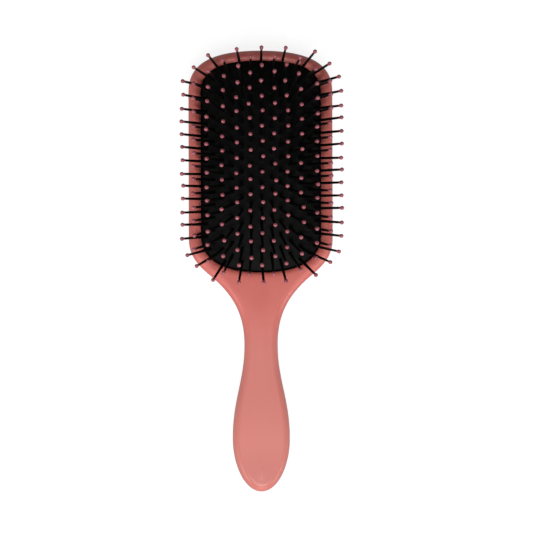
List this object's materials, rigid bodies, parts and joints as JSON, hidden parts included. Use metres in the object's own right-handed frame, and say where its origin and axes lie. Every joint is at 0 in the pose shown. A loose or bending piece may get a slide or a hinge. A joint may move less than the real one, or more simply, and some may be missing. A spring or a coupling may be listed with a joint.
{
  "type": "paddle hair brush",
  "caption": "Paddle hair brush with a contoured handle, a sprung air cushion and rows of fanned, ball-tipped pins that rock in the rubber.",
  "frame": {"origin": "on the flat back of the head, under the middle of the cushion", "axes": "+Z from the flat back up through the cushion towards the pin tips, +Y from the handle towards the head's far end, +X across the head"},
  "size_m": [0.0896, 0.2459, 0.0432],
  "materials": {
    "coral_shell": "soft-touch matt coral over moulded ABS",
    "black_liner": "plain black moulded plastic",
    "black_rubber": "satin black natural rubber",
    "black_nylon": "semi-gloss black nylon, with rose-coloured ball tips",
    "rose_resin": "rose-coloured resin that the ball tips are dipped in"
  },
  "bodies": {
    "handle": {"front_frame": "coral_shell", "back_cover": "coral_shell", "cushion_tray": "black_liner", "clamp_ring": "black_liner"},
    "cushion": {"cushion_pad": "black_rubber"},
    "row_01": {"bristle_row_01": "black_nylon"},
    "row_02": {"bristle_row_02": "black_nylon"},
    "row_03": {"bristle_row_03": "black_nylon"},
    "row_04": {"bristle_row_04": "black_nylon"},
    "row_05": {"bristle_row_05": "black_nylon"},
    "row_06": {"bristle_row_06": "black_nylon"},
    "row_07": {"bristle_row_07": "black_nylon"},
    "row_08": {"bristle_row_08": "black_nylon"},
    "row_09": {"bristle_row_09": "black_nylon"},
    "row_10": {"bristle_row_10": "black_nylon"},
    "row_11": {"bristle_row_11": "black_nylon"},
    "row_12": {"bristle_row_12": "black_nylon"},
    "row_13": {"bristle_row_13": "black_nylon"}
  },
  "joints": [
    {"name": "cushion_press", "type": "slide", "parent": "handle", "child": "cushion", "axis": [0, 0, 1], "range_m": [-0.0025, 0], "stiffness_N_per_m": 3000, "deforming": ["cushion_pad"]},
    {"name": "row_01_rock", "type": "hinge", "parent": "cushion", "child": "row_01", "pos_m": [-0.0303, 0, 0.01292], "axis": [0, 1, 0], "range_deg": [-7, 7], "stiffness_Nm_per_rad": 0.15},
    {"name": "row_02_rock", "type": "hinge", "parent": "cushion", "child": "row_02", "pos_m": [-0.0261, 0, 0.01495], "axis": [0, 1, 0], "range_deg": [-7, 7], "stiffness_Nm_per_rad": 0.15},
    {"name": "row_03_rock", "type": "hinge", "parent": "cushion", "child": "row_03", "pos_m": [-0.0211, 0, 0.01654], "axis": [0, 1, 0], "range_deg": [-7, 7], "stiffness_Nm_per_rad": 0.15},
    {"name": "row_04_rock", "type": "hinge", "parent": "cushion", "child": "row_04", "pos_m": [-0.01565, 0, 0.01808], "axis": [0, 1, 0], "range_deg": [-7, 7], "stiffness_Nm_per_rad": 0.15},
    {"name": "row_05_rock", "type": "hinge", "parent": "cushion", "child": "row_05", "pos_m": [-0.01045, 0, 0.01841], "axis": [0, 1, 0], "range_deg": [-7, 7], "stiffness_Nm_per_rad": 0.15},
    {"name": "row_06_rock", "type": "hinge", "parent": "cushion", "child": "row_06", "pos_m": [-0.0055, 0, 0.01901], "axis": [0, 1, 0], "range_deg": [-7, 7], "stiffness_Nm_per_rad": 0.15},
    {"name": "row_07_rock", "type": "hinge", "parent": "cushion", "child": "row_07", "pos_m": [0, 0, 0.01871], "axis": [0, 1, 0], "range_deg": [-7, 7], "stiffness_Nm_per_rad": 0.15},
    {"name": "row_08_rock", "type": "hinge", "parent": "cushion", "child": "row_08", "pos_m": [0.0055, 0, 0.01901], "axis": [0, 1, 0], "range_deg": [-7, 7], "stiffness_Nm_per_rad": 0.15},
    {"name": "row_09_rock", "type": "hinge", "parent": "cushion", "child": "row_09", "pos_m": [0.01045, 0, 0.01841], "axis": [0, 1, 0], "range_deg": [-7, 7], "stiffness_Nm_per_rad": 0.15},
    {"name": "row_10_rock", "type": "hinge", "parent": "cushion", "child": "row_10", "pos_m": [0.01565, 0, 0.01808], "axis": [0, 1, 0], "range_deg": [-7, 7], "stiffness_Nm_per_rad": 0.15},
    {"name": "row_11_rock", "type": "hinge", "parent": "cushion", "child": "row_11", "pos_m": [0.0211, 0, 0.01653], "axis": [0, 1, 0], "range_deg": [-7, 7], "stiffness_Nm_per_rad": 0.15},
    {"name": "row_12_rock", "type": "hinge", "parent": "cushion", "child": "row_12", "pos_m": [0.0261, 0, 0.01493], "axis": [0, 1, 0], "range_deg": [-7, 7], "stiffness_Nm_per_rad": 0.15},
    {"name": "row_13_rock", "type": "hinge", "parent": "cushion", "child": "row_13", "pos_m": [0.0303, 0, 0.01291], "axis": [0, 1, 0], "range_deg": [-7, 7], "stiffness_Nm_per_rad": 0.15}
  ]
}
